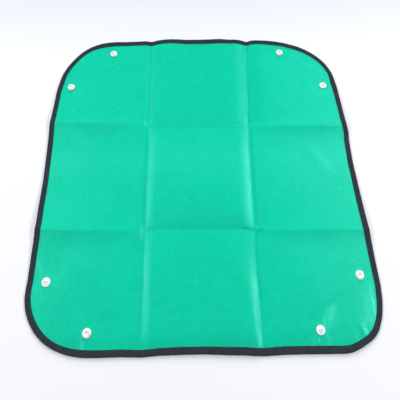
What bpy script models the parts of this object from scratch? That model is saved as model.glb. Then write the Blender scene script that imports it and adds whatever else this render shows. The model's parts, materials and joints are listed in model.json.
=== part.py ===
"""Repotting mat: a square laminated sheet with a bound edge that snaps up into a tray.

The mat lies flat. Four walls are hinged to a square base, and each wall carries a flap at
both ends. When the walls rise, the two flaps of a corner fold face to face, outside the
tray, and the stud on one sits in the socket on the other. Metres, +Z up, origin on the
surface that the mat lies on, under its middle.
"""
import math

import bmesh
import bpy
from mathutils import Matrix, Vector

# Sheet and tray
mat_side = 0.500
sheet_thickness = 0.0004
fold_gap = 0.0003
flap_fold_gap = 0.00045
diagonal_gap = 0.0003
corner_radius = {
    "near_left": 0.086,
    "near_right": 0.065,
    "far_right": 0.110,
    "far_left": 0.107,
}

# Creases left by folding the mat in three, and how high the sheet stands between them
crease_offset = 0.085
edge_lift = {"near": 0.0045, "right": 0.0060, "far": 0.0075, "left": 0.0055}
ridge_sag_share = 0.45
outer_crown_share = 0.18

# Binding tape
binding_width = 0.0095
tape_thickness = 0.00035
tape_clearance = 0.00025
tape_round = 0.0005

# Snap fasteners. The two at a corner are set alike, or they would not meet when it is pinched.
snap_edge_distance = {
    "near_left": 0.0285,
    "near_right": 0.0246,
    "far_right": 0.0276,
    "far_left": 0.0255,
}
snap_corner_distance = {
    "near_left": 0.0923,
    "near_right": 0.0917,
    "far_right": 0.0980,
    "far_left": 0.0949,
}
snap_fold_distance = 0.0120
seat_gap = 0.00025
post_radius = 0.0010
post_clearance = 0.0003
cap_radius = 0.0071
cap_height = 0.0011
cap_flat_radius = 0.0036
cap_rim_height = 0.0004
cap_edge_round = 0.0004
head_radius = 0.0015
head_height = 0.0004
head_lift = 0.00015
web_height = 0.0006
stud_radius = 0.0061
stud_base_height = 0.0010
stud_land_height = 0.0008
nipple_radius = 0.0020
nipple_bead = 0.0002
nipple_height = 0.0016
nipple_cavity_radius = 0.00175
socket_radius = 0.0061
socket_height = 0.0021
socket_shoulder_height = 0.0012
socket_face_radius = 0.0044
bore_clearance = 0.0003
bore_lead_in = 0.0004
rim_chamfer = 0.0002

# How finely round shapes are cut
cap_segments = 20
snap_segments = 24
hole_segments = 12
arc_steps = 9
crease_steps = 4
outward_steps = 3
sharp_angle = 30

# Sizes that follow
half_side = mat_side / 2
wall_height = max(snap_corner_distance.values()) + snap_fold_distance
base_half = half_side - wall_height
mated_gap = seat_gap + stud_base_height + seat_gap + socket_height + seat_gap
flap_offset = (mated_gap + sheet_thickness) / math.sqrt(2)
wall_half = base_half - flap_offset
sheet_mid = cap_height + seat_gap + sheet_thickness / 2
sheet_rest = sheet_thickness / 2
sheet_inset = tape_thickness + tape_clearance
slot_half = sheet_thickness / 2 + tape_clearance
binding_half = slot_half + tape_thickness
through_radius = post_radius + post_clearance
upper_seat = sheet_thickness / 2 + seat_gap

SIDES = {
    "near": (-90, "near_left", "near_right"),
    "right": (0, "near_right", "far_right"),
    "far": (90, "far_right", "far_left"),
    "left": (180, "far_left", "near_left"),
}

materials = {}


def clear_scene():
    for item in list(bpy.data.objects):
        bpy.data.objects.remove(item, do_unlink=True)


def make_material(name, color, roughness, metallic=0.0):
    material = bpy.data.materials.new(name)
    material.use_nodes = True
    shader = material.node_tree.nodes["Principled BSDF"]
    shader.inputs["Base Color"].default_value = (*color, 1.0)
    shader.inputs["Roughness"].default_value = roughness
    shader.inputs["Metallic"].default_value = metallic
    materials[name] = material


def make_materials():
    make_material("laminate", (0.008, 0.651, 0.407), 0.35)
    make_material("binding", (0.022, 0.030, 0.038), 0.80)
    make_material("snap_plastic", (0.86, 0.88, 0.90), 0.30)


def add_empty(name, place, parent=None):
    """A hinge: its origin is on the fold line, X runs outward and Y along the wall."""
    empty = bpy.data.objects.new(name, None)
    bpy.context.collection.objects.link(empty)
    empty.parent = parent
    empty.matrix_local = place
    return empty


def add_piece(name, mesh_data, material, parent=None, place=None):
    """Link a closed bmesh as an object that stands in its parent's frame."""
    bmesh.ops.recalc_face_normals(mesh_data, faces=mesh_data.faces)
    mesh = bpy.data.meshes.new(name)
    mesh_data.to_mesh(mesh)
    mesh_data.free()
    mesh.materials.append(materials[material])
    piece = bpy.data.objects.new(name, mesh)
    bpy.context.collection.objects.link(piece)
    piece.parent = parent
    if place is not None:
        piece.matrix_local = place
    return piece


def steps_between(start, end, count):
    """Evenly spaced values from start to end, both included."""
    return [start + (end - start) * step / count for step in range(count + 1)]


def lofted(rings):
    """Skin a row of rings of points, with flat caps over the first and the last."""
    mesh_data = bmesh.new()
    rows = [[mesh_data.verts.new(point) for point in ring] for ring in rings]
    count = len(rings[0])
    for first, second in zip(rows, rows[1:]):
        for index in range(count):
            after = (index + 1) % count
            mesh_data.faces.new((first[index], first[after], second[after], second[index]))
    mesh_data.faces.new(rows[0])
    mesh_data.faces.new(rows[-1])
    return mesh_data


def turned(profile, segments, height):
    """Revolve a profile of (radius, z) points about Z. A radius of zero closes it there."""
    mesh_data = bmesh.new()
    rings = []
    for radius, level in profile:
        z = level + height
        if radius == 0:
            rings.append([mesh_data.verts.new((0, 0, z))])
            continue
        angles = [math.tau * step / segments for step in range(segments)]
        rings.append([mesh_data.verts.new((radius * math.cos(a), radius * math.sin(a), z)) for a in angles])
    on_axis = len(rings[0]) == 1
    pairs = list(zip(rings, rings[1:]))
    if not on_axis:
        pairs.append((rings[-1], rings[0]))
    for lower, upper in pairs:
        for step in range(segments):
            after = (step + 1) % segments
            corners = [lower[step % len(lower)], lower[after % len(lower)]]
            corners += [upper[after % len(upper)], upper[step % len(upper)]]
            mesh_data.faces.new(list(dict.fromkeys(corners)))
    return mesh_data


def sheet_patch(outward, along, height):
    """A thin closed patch of sheet over a grid, at the mid height that height() gives."""
    mesh_data = bmesh.new()
    half = sheet_thickness / 2
    layers = []
    for offset in (half, -half):
        layer = [[mesh_data.verts.new((x, y, height(x, y) + offset)) for y in along] for x in outward]
        layers.append(layer)
    top, bottom = layers
    last_x, last_y = len(outward) - 1, len(along) - 1
    for i in range(last_x):
        for j in range(last_y):
            cell = [(i, j), (i + 1, j), (i + 1, j + 1), (i, j + 1)]
            mesh_data.faces.new([top[a][b] for a, b in cell])
            mesh_data.faces.new([bottom[a][b] for a, b in reversed(cell)])
    border = [(i, 0) for i in range(last_x)] + [(last_x, j) for j in range(last_y)]
    border += [(i, last_y) for i in range(last_x, 0, -1)] + [(0, j) for j in range(last_y, 0, -1)]
    for here, there in zip(border, border[1:] + border[:1]):
        a, b = top[here[0]][here[1]], top[there[0]][there[1]]
        c, d = bottom[there[0]][there[1]], bottom[here[0]][here[1]]
        mesh_data.faces.new((a, b, c, d))
    return mesh_data


def crease_profile(side, along):
    """Share of the edge lift at a place along a wall: zero at both ends of the wall.

    The near and far walls dip at the creases and stand up between them. The left and
    right walls have a ridge at each crease instead and sag between the ridges.
    """
    reach = abs(along)
    if reach >= wall_half:
        return 0
    if reach > crease_offset:
        inner = (wall_half - reach) / (wall_half - crease_offset)
        return inner if side in ("left", "right") else outer_crown_share * 4 * inner * (1 - inner)
    across = reach / crease_offset
    if side in ("left", "right"):
        return ridge_sag_share + (1 - ridge_sag_share) * across ** 2
    return 1 - across ** 2


def wall_lift(side, outward, along):
    """Height of a wall's sheet above its fold plane; it grows from the base to the edge."""
    return edge_lift[side] * crease_profile(side, along) * max(outward, 0) / wall_height


def base_height(x, y):
    """The middle panel lies on the surface; outside the creases the sheet rises to the folds."""
    run = base_half - crease_offset
    rise_x = min(max(abs(x) - crease_offset, 0) / run, 1)
    rise_y = min(max(abs(y) - crease_offset, 0) / run, 1)
    rise = 1 - (1 - rise_x) * (1 - rise_y)
    return sheet_rest + (sheet_mid - sheet_rest) * rise


def along_stations(reach):
    """Places along a wall, denser where the creases bend the sheet, out to a given reach."""
    middle = steps_between(-crease_offset, crease_offset, 2 * crease_steps)
    outer = steps_between(crease_offset, reach, crease_steps // 2)[1:]
    return [-place for place in reversed(outer)] + middle + outer


def make_base():
    edge = base_half - fold_gap
    places = along_stations(edge)
    mesh_data = sheet_patch(places, places, base_height)
    add_piece("base_panel", mesh_data, "laminate")


def make_wall_panel(side, hinge):
    outer = wall_height - sheet_inset
    outward = steps_between(fold_gap, outer, outward_steps)
    along = along_stations(wall_half - flap_fold_gap)
    mesh_data = sheet_patch(outward, along, lambda x, y: wall_lift(side, x, y))
    add_piece(f"{side}_wall_panel", mesh_data, "laminate", hinge)


def binding_profile():
    """Section of the folded tape: (distance in from the mat's edge, height about the sheet)."""
    turn, top, slot = tape_round, binding_half, slot_half
    return [
        (binding_width, top),
        (turn, top),
        (0, top - turn),
        (0, turn - top),
        (turn, -top),
        (binding_width, -top),
        (binding_width, -slot),
        (tape_thickness, -slot),
        (tape_thickness, slot),
        (binding_width, slot),
    ]


def make_wall_binding(side, hinge):
    rings = []
    for along in along_stations(wall_half - flap_fold_gap):
        ring = []
        for inward, height in binding_profile():
            outward = wall_height - inward
            ring.append((outward, along, height + wall_lift(side, outward, along)))
        rings.append(ring)
    add_piece(f"{side}_wall_binding", lofted(rings), "binding", hinge)


def flap_edge(corner, inset):
    """The flap's outer edge, inset from the mat's edge: a straight run, then half the corner.

    Each point comes with the direction that points out of the mat. Both are in the flap's
    frame, which has its origin where the fold lines of the base, wall and flap meet.
    """
    radius = min(corner_radius[corner], wall_height)
    centre_x = wall_height - radius
    centre_y = centre_x + flap_offset
    arc_radius = radius - inset
    end_angle = math.pi / 4 - math.asin(diagonal_gap / arc_radius)
    points = [((wall_height - inset, flap_fold_gap), (1, 0))]
    for angle in steps_between(0, end_angle, arc_steps):
        out = (math.cos(angle), math.sin(angle))
        points.append(((centre_x + arc_radius * out[0], centre_y + arc_radius * out[1]), out))
    return points


def make_flap_panel(name, corner, hand, hinge):
    """A flat triangle with one round corner, pierced where the snap's post goes through."""
    mesh_data = bmesh.new()
    edge = [point for point, out in flap_edge(corner, sheet_inset)]
    diagonal_shift = flap_offset - diagonal_gap * math.sqrt(2)
    inner = [(fold_gap, fold_gap + diagonal_shift), (fold_gap, flap_fold_gap)]
    outline = [mesh_data.verts.new((x, hand * y, 0)) for x, y in edge + inner]
    face = mesh_data.faces.new(outline)
    bmesh.ops.translate(mesh_data, verts=outline, vec=(0, 0, -sheet_thickness / 2))
    result = bmesh.ops.extrude_face_region(mesh_data, geom=[face])
    lifted = [item for item in result["geom"] if isinstance(item, bmesh.types.BMVert)]
    bmesh.ops.translate(mesh_data, verts=lifted, vec=(0, 0, sheet_thickness))
    panel = add_piece(f"{name}_panel", mesh_data, "laminate", hinge)
    cut = panel.modifiers.new("post_hole", "BOOLEAN")
    cut.operation = "DIFFERENCE"
    cut.object = make_post_cutter(name, snap_place(corner, hand), hinge)


def make_post_cutter(name, place, hinge):
    mesh_data = bmesh.new()
    depth = binding_half * 2
    bmesh.ops.create_cone(
        mesh_data,
        cap_ends=True,
        segments=hole_segments,
        radius1=through_radius,
        radius2=through_radius,
        depth=depth,
    )
    cutter = add_piece(f"{name}_hole_cutter", mesh_data, "laminate", hinge, place)
    cutter.hide_render = True
    cutter.display_type = "WIRE"
    return cutter


def make_flap_binding(name, corner, hand, hinge):
    rings = []
    inner_rows = [flap_edge(corner, inward) for inward, height in binding_profile()]
    for station in range(len(inner_rows[0])):
        ring = []
        for row, (inward, height) in zip(inner_rows, binding_profile()):
            x, y = row[station][0]
            ring.append((x, hand * y, height))
        rings.append(ring)
    add_piece(f"{name}_binding", lofted(rings), "binding", hinge)


def snap_place(corner, hand):
    """Where a flap's snap sits, in the flap's frame."""
    outward = wall_height - snap_edge_distance[corner]
    along = wall_height + flap_offset - snap_corner_distance[corner]
    return Matrix.Translation((outward, hand * along, 0))


def cap_profile():
    """Low dome under the sheet, its post through the sheet, and the pressed head."""
    head_base = cap_height + 2 * seat_gap + sheet_thickness + web_height + head_lift
    head_top = head_base + head_height
    return [
        (0, 0),
        (cap_flat_radius, 0),
        (cap_radius - cap_edge_round, cap_rim_height - rim_chamfer),
        (cap_radius, cap_rim_height),
        (cap_radius, cap_height - rim_chamfer),
        (cap_radius - rim_chamfer, cap_height),
        (post_radius, cap_height),
        (post_radius, head_base),
        (head_radius, head_base),
        (head_radius, head_top - rim_chamfer),
        (post_radius, head_top),
        (0, head_top),
    ]


def stud_profile():
    """Base ring with a raised lip and a hollow nipple that ends in a retaining bead."""
    tip = stud_base_height + nipple_height
    return [
        (through_radius, 0),
        (stud_radius - rim_chamfer, 0),
        (stud_radius, rim_chamfer),
        (stud_radius, stud_base_height - rim_chamfer),
        (stud_radius - rim_chamfer, stud_base_height),
        (socket_face_radius, stud_base_height),
        (socket_face_radius - rim_chamfer, stud_land_height),
        (nipple_radius, stud_land_height),
        (nipple_radius, tip - 3 * nipple_bead),
        (nipple_radius + nipple_bead, tip - 2 * nipple_bead),
        (nipple_radius, tip),
        (nipple_cavity_radius, tip),
        (nipple_cavity_radius, web_height),
        (through_radius, web_height),
    ]


def socket_profile():
    """Stepped ring with a bore that takes the stud's nipple."""
    bore = nipple_radius + nipple_bead + bore_clearance
    return [
        (through_radius, 0),
        (socket_radius - rim_chamfer, 0),
        (socket_radius, rim_chamfer),
        (socket_radius, socket_shoulder_height - rim_chamfer),
        (socket_radius - rim_chamfer, socket_shoulder_height),
        (socket_face_radius + rim_chamfer, socket_shoulder_height),
        (socket_face_radius, socket_height - rim_chamfer),
        (socket_face_radius - rim_chamfer, socket_height),
        (bore + bore_lead_in, socket_height),
        (bore, socket_height - bore_lead_in),
        (bore, web_height),
        (through_radius, web_height),
    ]


def make_snap(name, place, hinge, kind):
    cap_bottom = -sheet_mid
    cap = turned(cap_profile(), cap_segments, cap_bottom)
    add_piece(f"{name}_snap_cap", cap, "snap_plastic", hinge, place)
    profile = stud_profile() if kind == "stud" else socket_profile()
    upper = turned(profile, snap_segments, upper_seat)
    add_piece(f"{name}_snap_{kind}", upper, "snap_plastic", hinge, place)


def make_flap(side, corner, hand, wall_hinge):
    """One of a corner's two flaps. Of each corner's pair, one has the stud and one the socket."""
    name = f"{corner}_corner_{side}_flap"
    origin = Matrix.Translation((0, hand * wall_half, 0))
    hinge = add_empty(f"{name}_hinge", origin, wall_hinge)
    make_flap_panel(name, corner, hand, hinge)
    make_flap_binding(name, corner, hand, hinge)
    make_snap(name, snap_place(corner, hand), hinge, "stud" if hand > 0 else "socket")


def make_side(side, turn, start_corner, end_corner):
    angle = math.radians(turn)
    spot = Vector((base_half * math.cos(angle), base_half * math.sin(angle), sheet_mid))
    place = Matrix.Translation(spot) @ Matrix.Rotation(angle, 4, "Z")
    hinge = add_empty(f"{side}_wall_hinge", place)
    make_wall_panel(side, hinge)
    make_wall_binding(side, hinge)
    make_flap(side, start_corner, -1, hinge)
    make_flap(side, end_corner, 1, hinge)


def smooth_round_pieces():
    """Shade the turned pieces and the tape smooth, and keep their edges crisp."""
    sharp = math.radians(sharp_angle)
    for piece in bpy.data.objects:
        if piece.type == "MESH" and not piece.hide_render:
            piece.data.shade_smooth()
            piece.data.set_sharp_from_angle(angle=sharp)


def main():
    clear_scene()
    make_materials()
    make_base()
    for side, (turn, start_corner, end_corner) in SIDES.items():
        make_side(side, turn, start_corner, end_corner)
    smooth_round_pieces()


main()
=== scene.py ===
"""Looks of the repotting mat: a green laminated sheet, a dark bound edge and eight white snaps.

The sheet is one cloth in life. Here it is thirteen thin pieces that meet edge to edge along the
lines where the tray folds. All of them are cut from one relief, so they read as one cloth when
the mat lies flat. Metres, +Z up, the middle of the mat over the origin.
"""
import json
import math

import bmesh
import bpy
import numpy as np
from mathutils import Matrix, Vector, noise


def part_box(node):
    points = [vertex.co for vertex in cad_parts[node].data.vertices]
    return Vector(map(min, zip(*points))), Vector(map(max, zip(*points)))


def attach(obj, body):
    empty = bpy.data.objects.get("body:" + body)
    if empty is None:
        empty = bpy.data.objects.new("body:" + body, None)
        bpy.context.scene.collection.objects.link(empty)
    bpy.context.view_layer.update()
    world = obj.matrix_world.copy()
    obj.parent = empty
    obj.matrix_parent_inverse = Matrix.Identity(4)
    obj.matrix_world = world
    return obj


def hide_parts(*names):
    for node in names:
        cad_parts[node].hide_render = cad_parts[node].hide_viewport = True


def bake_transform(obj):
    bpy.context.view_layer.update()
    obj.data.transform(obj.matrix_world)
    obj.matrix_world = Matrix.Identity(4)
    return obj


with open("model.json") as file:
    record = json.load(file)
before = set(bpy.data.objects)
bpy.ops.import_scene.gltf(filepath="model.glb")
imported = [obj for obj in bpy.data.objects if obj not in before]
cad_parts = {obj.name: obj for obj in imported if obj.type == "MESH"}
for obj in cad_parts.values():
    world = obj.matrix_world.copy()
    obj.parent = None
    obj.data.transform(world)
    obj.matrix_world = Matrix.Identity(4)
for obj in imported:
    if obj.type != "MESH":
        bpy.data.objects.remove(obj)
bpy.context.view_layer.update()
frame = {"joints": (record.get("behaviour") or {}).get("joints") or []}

# Sizes read from the frame
hinge_place = {joint["name"]: Vector(joint["pos_m"]) for joint in frame["joints"]}
base_half = hinge_place["right_wall_fold"].x
sheet_level = hinge_place["right_wall_fold"].z
wall_half = hinge_place["near_right_corner_near_flap_fold"].x
wall_binding_low, wall_binding_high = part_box("right_wall_binding")
half_side = wall_binding_high.x
binding_width = half_side - wall_binding_low.x
flap_binding_low, flap_binding_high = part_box("near_left_corner_near_flap_binding")
binding_half = (flap_binding_high.z - flap_binding_low.z) / 2

# Sheet
sheet_thickness = 0.0004
sheet_inset = 0.0006
lying_level = 0.0003
tape_lying_level = 0.0011
tape_lying_widths = 3
corner_radius = {
    "near_left": 0.086,
    "near_right": 0.065,
    "far_right": 0.110,
    "far_left": 0.107,
}
fold_bend = 0.005
flap_bend = base_half - wall_half

# Creases: their nominal place, and where each one really runs as (place along, place across)
crease_offset = 0.085
crease_round = 0.0006
crease_reach = 0.016
crease_rungs = 8
crease_rung_power = 1.7
left_crease_run = [
    (-0.250, -0.0851), (-0.145, -0.0857), (-0.080, -0.0854), (0.000, -0.0854), (0.040, -0.0846),
    (0.068, -0.0847), (0.095, -0.0870), (0.250, -0.0877),
]
right_crease_run = [
    (-0.250, 0.0775), (-0.200, 0.0782), (-0.178, 0.0782), (-0.150, 0.0774), (-0.115, 0.0776),
    (-0.095, 0.0790), (-0.070, 0.0794), (-0.030, 0.0796), (0.010, 0.0807), (0.051, 0.0811),
    (0.088, 0.0830), (0.126, 0.0861), (0.174, 0.0884), (0.250, 0.0925),
]
far_crease_run = [
    (-0.250, 0.0868), (-0.094, 0.0823), (-0.082, 0.0750), (0.078, 0.0713), (0.090, 0.0768),
    (0.250, 0.0721),
]
near_crease_run = [
    (-0.250, -0.0850), (-0.092, -0.0912), (-0.082, -0.0892), (0.079, -0.0924), (0.250, -0.0963),
]

# How high the sheet stands off the floor between its creases
panel_bulge = 0.0047
left_sink_share = 0.34
flank_narrowing = 0.7
far_edge_lift = 0.0031
near_hump = 0.0014
left_flank_run = [
    (-0.250, 0.0120), (-0.200, 0.0135), (-0.085, 0.0115), (0.085, 0.0125), (0.250, 0.0165),
]
right_flank_run = [
    (-0.250, 0.0075), (-0.210, 0.0100), (-0.170, 0.0160), (-0.130, 0.0260), (-0.105, 0.0280),
    (-0.085, 0.0200), (-0.060, 0.0150), (0.060, 0.0150), (0.100, 0.0180), (0.250, 0.0165),
]
outer_flank = 0.0130
steep_flank = 0.0130
gentle_flank = 0.0420
far_valley_share = 0.49
near_valley_share = 0.72
near_fall = 0.0014
near_roll = 0.0014
near_roll_reach = 0.034
ridge_height = {
    "far_left": 0.0043,
    "near_left": 0.0059,
    "far_right": 0.0045,
    "near_right": 0.0047,
}
ridge_start_share = 0.35
ridge_start_flank = 0.012
ridge_near_flank = {"far": 0.016, "near": 0.021}
ridge_far_flank = 0.055
slack_height = 0.0004
slack_size = 0.055
slack_slice = 0.5
slack_smoothness = 1.0
slack_layer_step = 2.0
slack_layers = 3

# How far each edge has drifted from a true square, as (place along the edge, outward drift)
edge_drift = {
    "near": [
        (-0.170, -0.0009), (-0.155, 0.0002), (-0.139, 0.0003), (-0.110, 0.0002), (-0.084, 0.0014),
        (-0.060, -0.0002), (-0.020, -0.0005), (0.005, -0.0004), (0.035, 0.0012), (0.060, 0.0021),
        (0.086, 0.0040), (0.110, 0.0029), (0.135, 0.0030), (0.160, 0.0034), (0.185, 0.0037),
    ],
    "right": [
        (-0.210, 0.0008), (-0.195, 0.0008), (-0.172, 0.0028), (-0.115, 0.0021), (-0.096, 0.0016),
        (-0.080, 0.0006), (-0.046, -0.0001), (-0.022, -0.0006), (0.001, -0.0010), (0.011, -0.0014),
        (0.021, -0.0016), (0.026, -0.0018), (0.031, -0.0013), (0.036, -0.0011), (0.0465, -0.0012),
        (0.052, -0.0009), (0.057, -0.0010), (0.0625, -0.0007), (0.068, 0.0001), (0.0735, 0.0003),
        (0.079, -0.0002), (0.0845, -0.0010), (0.095, -0.0017), (0.117, -0.0024), (0.141, -0.0034),
    ],
    "far": [
        (-0.200, 0.0036), (-0.166, 0.0018), (-0.143, 0.0009), (-0.135, 0.0008), (-0.107, 0.0018),
        (-0.096, 0.0028), (-0.0845, 0.0008), (-0.0755, 0.0014), (-0.050, 0.0030), (-0.036, 0.0022),
        (-0.020, 0.0006), (-0.002, 0.0004), (0.019, 0.0008), (0.037, 0.0011), (0.052, -0.0007),
        (0.088, -0.0013), (0.0945, 0.0013), (0.104, 0.0018), (0.126, 0.0008), (0.152, -0.0020),
        (0.172, -0.0033), (0.214, -0.0004),
    ],
    "left": [
        (-0.177, -0.0006), (-0.155, -0.0017), (-0.120, -0.0018), (-0.098, -0.0026), (-0.078, -0.0033),
        (-0.054, -0.0022), (-0.011, -0.0022), (0.011, -0.0011), (0.033, -0.0004), (0.055, 0.0003),
        (0.077, 0.0010), (0.099, -0.0001), (0.121, -0.0007), (0.149, -0.0015),
    ],
}
edge_drift_start = 0.150

# How far each round corner swells beyond its arc, as (degrees round the mat, outward drift)
corner_swell = {
    "far_right": [
        (0, 0), (10, 0), (12, 0.0006), (20, 0.0020), (30, 0.0022), (40, 0.0013), (50, -0.0005),
        (60, -0.0008), (80, -0.0003), (90, 0),
    ],
    "far_left": [
        (90, 0), (100, 0.0003), (110, 0.0012), (130, 0.0015), (140, 0.0007), (160, 0.0006),
        (170, -0.0004), (180, 0),
    ],
    "near_left": [
        (180, 0), (200, 0.0005), (210, 0.0003), (230, -0.0002), (250, -0.0010), (260, -0.0006),
        (270, 0),
    ],
    "near_right": [
        (270, 0), (280, -0.0001), (290, -0.0010), (300, -0.0011), (310, 0.0002), (320, 0.0008),
        (330, 0), (360, 0),
    ],
}

# Small wrinkles, most of them where the snaps pull the cloth, as (start, end, height, half width)
wrinkles = [
    ((0.160, -0.226), (0.183, -0.191), 0.0009, 0.0040),
    ((0.168, -0.228), (0.173, -0.243), 0.0006, 0.0018),
    ((0.150, -0.230), (0.153, -0.243), 0.0006, 0.0018),
    ((0.232, -0.160), (0.236, -0.222), 0.0005, 0.0040),
    ((0.212, -0.218), (0.222, -0.238), 0.0008, 0.0030),
    ((-0.236, -0.128), (-0.228, -0.148), 0.0008, 0.0022),
    ((-0.166, -0.228), (-0.162, -0.244), 0.0008, 0.0022),
    ((0.118, 0.146), (0.152, 0.096), 0.0009, 0.0090),
    ((0.165, 0.050), (0.215, -0.016), 0.0008, 0.0100),
]

# Painted highlight (above nought) and painted shade (below it) in lines along the long creases,
# as (crease side, row, how far outward of the crease, half width, strength)
crease_light_lines = [
    (-1, "far", 0.0034, 0.0016, 0.14),
    (-1, "far", 0.0000, 0.0013, -0.45),
    (-1, "far", -0.0060, 0.0040, 0.04),
    (-1, "middle", 0.0026, 0.0024, -0.40),
    (-1, "middle", -0.0012, 0.0020, 0.18),
    (-1, "middle", -0.0085, 0.0045, 0.22),
    (-1, "near", 0.0022, 0.0020, -0.25),
    (-1, "near", -0.0030, 0.0040, 0.08),
    (-1, "near", -0.0085, 0.0040, 0.20),
    (1, "far", -0.0130, 0.0080, 0.18),
    (1, "far", -0.0010, 0.0012, 0.20),
    (1, "far", 0.0012, 0.0018, -0.50),
    (1, "far", 0.0120, 0.0120, -0.15),
    (1, "middle", -0.0030, 0.0040, 0.15),
    (1, "middle", -0.0105, 0.0055, 0.26),
    (1, "middle", 0.0040, 0.0024, -0.40),
    (1, "near", -0.0060, 0.0060, 0.06),
    (1, "near", 0.0022, 0.0013, -0.40),
]
row_limits = {"near": (-1, -0.085), "middle": (-0.085, 0.085), "far": (0.085, 1)}
row_fade = 0.006

# Painted highlight streaks and specks on the film, as (start, end, half width, strength)
highlight_streaks = [
    ((0.160, -0.228), (0.183, -0.194), 0.0065, 1.10),
    ((0.176, -0.222), (0.179, -0.194), 0.0020, 0.50),
    ((0.2310, -0.170), (0.2300, -0.232), 0.0070, 1.05),
    ((0.2378, -0.170), (0.2372, -0.234), 0.0018, 1.60),
    ((0.2185, -0.212), (0.2215, -0.238), 0.0030, 0.95),
    ((0.205, -0.229), (0.208, -0.244), 0.0022, 0.60),
    ((0.1510, -0.228), (0.1455, -0.245), 0.0012, 0.90),
    ((0.1570, -0.228), (0.1530, -0.243), 0.0012, 1.00),
    ((0.1665, -0.226), (0.1705, -0.249), 0.0016, 1.10),
    ((0.224, -0.138), (0.226, -0.154), 0.0030, 0.50),
    ((-0.237, -0.130), (-0.226, -0.152), 0.0030, 0.60),
    ((-0.1637, -0.224), (-0.1617, -0.246), 0.0020, 0.80),
    ((-0.199, -0.105), (-0.199, -0.160), 0.0050, 0.25),
    ((0.174, 0.220), (0.190, 0.205), 0.0030, 0.40),
    ((0.196, 0.203), (0.215, 0.182), 0.0030, 0.45),
    ((0.219, 0.188), (0.229, 0.158), 0.0030, 0.50),
    ((0.235, 0.182), (0.241, 0.122), 0.0055, 0.55),
    ((0.107, 0.0905), (0.112, 0.0905), 0.0020, 0.80),
    ((-0.0908, -0.0770), (-0.0887, -0.1085), 0.0013, 1.60),
    ((-0.0960, 0.0875), (-0.0880, 0.0780), 0.0018, 1.40),
    ((0.0795, 0.078), (0.0810, 0.094), 0.0018, 0.90),
    ((0.0822, -0.0865), (0.0838, -0.0925), 0.0014, 1.40),
    ((0.0766, -0.195), (0.0742, -0.285), 0.0026, 1.00),
    ((0.180, 0.045), (0.225, -0.010), 0.0220, 0.16),
    ((0.205, -0.100), (0.195, -0.250), 0.0400, 0.08),
]

# Streaks of painted shade in and beside creases, given the same way
shade_streaks = [
    ((0.055, -0.0880), (0.0835, -0.0920), 0.0028, 0.60),
    ((0.0830, -0.0940), (0.0940, -0.0942), 0.0014, 1.00),
    ((-0.205, -0.1670), (0.000, -0.1715), 0.0013, 0.14),
    ((-0.020, -0.1715), (0.205, -0.1770), 0.0013, 0.16),
]

# Broad patches of painted light (above nought) and painted shade (below it), as (place along x,
# along y, reach along x, along y, strength)
light_and_shade_patches = [
    (0.000, 0.018, 1.000, 0.028, 0.08),
    (0.000, 0.020, 0.080, 0.050, 0.06),
    (0.215, 0.170, 0.100, 0.100, 0.15),
    (0.190, 0.010, 0.090, 0.080, 0.12),
    (0.000, -0.130, 0.075, 0.070, -0.13),
    (-0.170, -0.125, 0.060, 0.022, 0.05),
    (0.170, -0.120, 0.060, 0.022, 0.12),
    (-0.170, -0.200, 0.070, 0.035, -0.10),
    (0.170, -0.205, 0.080, 0.030, -0.12),
    (0.000, -0.2405, 1.000, 0.0140, -0.34),
    (-0.165, 0.0780, 0.062, 0.0080, -0.10),
    (-0.165, 0.0930, 0.062, 0.0045, 0.08),
    (0.170, 0.0675, 0.070, 0.0090, -0.13),
    (0.170, 0.0820, 0.070, 0.0045, 0.10),
    (-0.170, -0.1000, 0.062, 0.0110, -0.12),
    (0.170, -0.1030, 0.062, 0.0080, -0.10),
]

# Where the creases cross, the cloth is pinched up to a small point at (place along x, along y)
pinches = [(-0.0905, 0.0870), (-0.0885, -0.0865), (0.0880, -0.0825)]
pinch_height = 0.0008
pinch_radius = 0.0026

# The cloth is level within the grip of a snap, eases out beyond it, and puckers round it
snap_grip = 0.0080
snap_ease = 0.0260
pucker_height = 0.00022
pucker_reach = 0.0045
pucker_count = 9

# Binding tape: its section as (share of its width in from the edge, share of its half thickness)
tape_thickness = 0.00035
tape_shape_shares = [
    (1.00, 0.77),
    (0.93, 0.80),
    (0.84, 0.77),
    (0.78, 0.71),
    (0.72, 0.78),
    (0.55, 0.98),
    (0.35, 1.08),
    (0.18, 1.04),
]
tape_fold_steps = 6
tape_station = 0.0025
# Where the tape is sewn narrower, as (degrees round the mat, share of its full width)
tape_width_run = [
    (0, 0.93), (6, 0.91), (11, 0.88), (16, 0.84), (21, 0.89), (25, 0.87), (33, 0.89), (36, 0.80),
    (43, 0.80), (47, 0.86), (51, 0.92), (61, 0.94), (65, 0.87), (72, 0.91), (77, 0.89), (81, 1.00),
    (86, 1.04), (91, 0.96), (95, 1.00), (100, 0.93), (104, 0.90), (108, 0.98), (112, 0.94),
    (124, 0.98), (127, 0.95), (130, 0.82), (137, 0.79), (144, 0.83), (155, 0.84), (165, 0.88),
    (200, 0.88), (213, 0.86), (220, 0.88), (226, 0.84), (232, 0.88), (237, 0.95), (241, 0.91),
    (251, 0.91), (261, 0.99), (268, 0.95), (278, 1.01), (284, 1.05), (289, 0.98), (294, 1.03),
    (303, 1.01), (307, 0.97), (313, 0.89), (317, 0.82), (324, 0.85), (335, 0.91), (345, 0.97),
    (350, 0.98), (355, 0.95), (360, 0.93),
]
tape_wander = 0.0003
tape_wander_size = 0.045
tape_wander_slice = 3.5
inner_edge_power = 3

# Gathers of the tape's inner edge where it is sewn round a corner
gather_height = 0.0003
gather_length = 0.0062
gather_blend_stations = 9

# Lockstitch
stitch_share = 0.78
stitch_sink_share = 0.30
stitch_pitch = 0.0036
stitch_fill_share = 0.80
thread_radius = 0.00024
stitch_sizes = {
    "Pitch": stitch_pitch,
    "Fill Share": stitch_fill_share,
    "Thread Radius": thread_radius,
}
stitch_segments = 8
stitch_rings = 6

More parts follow.
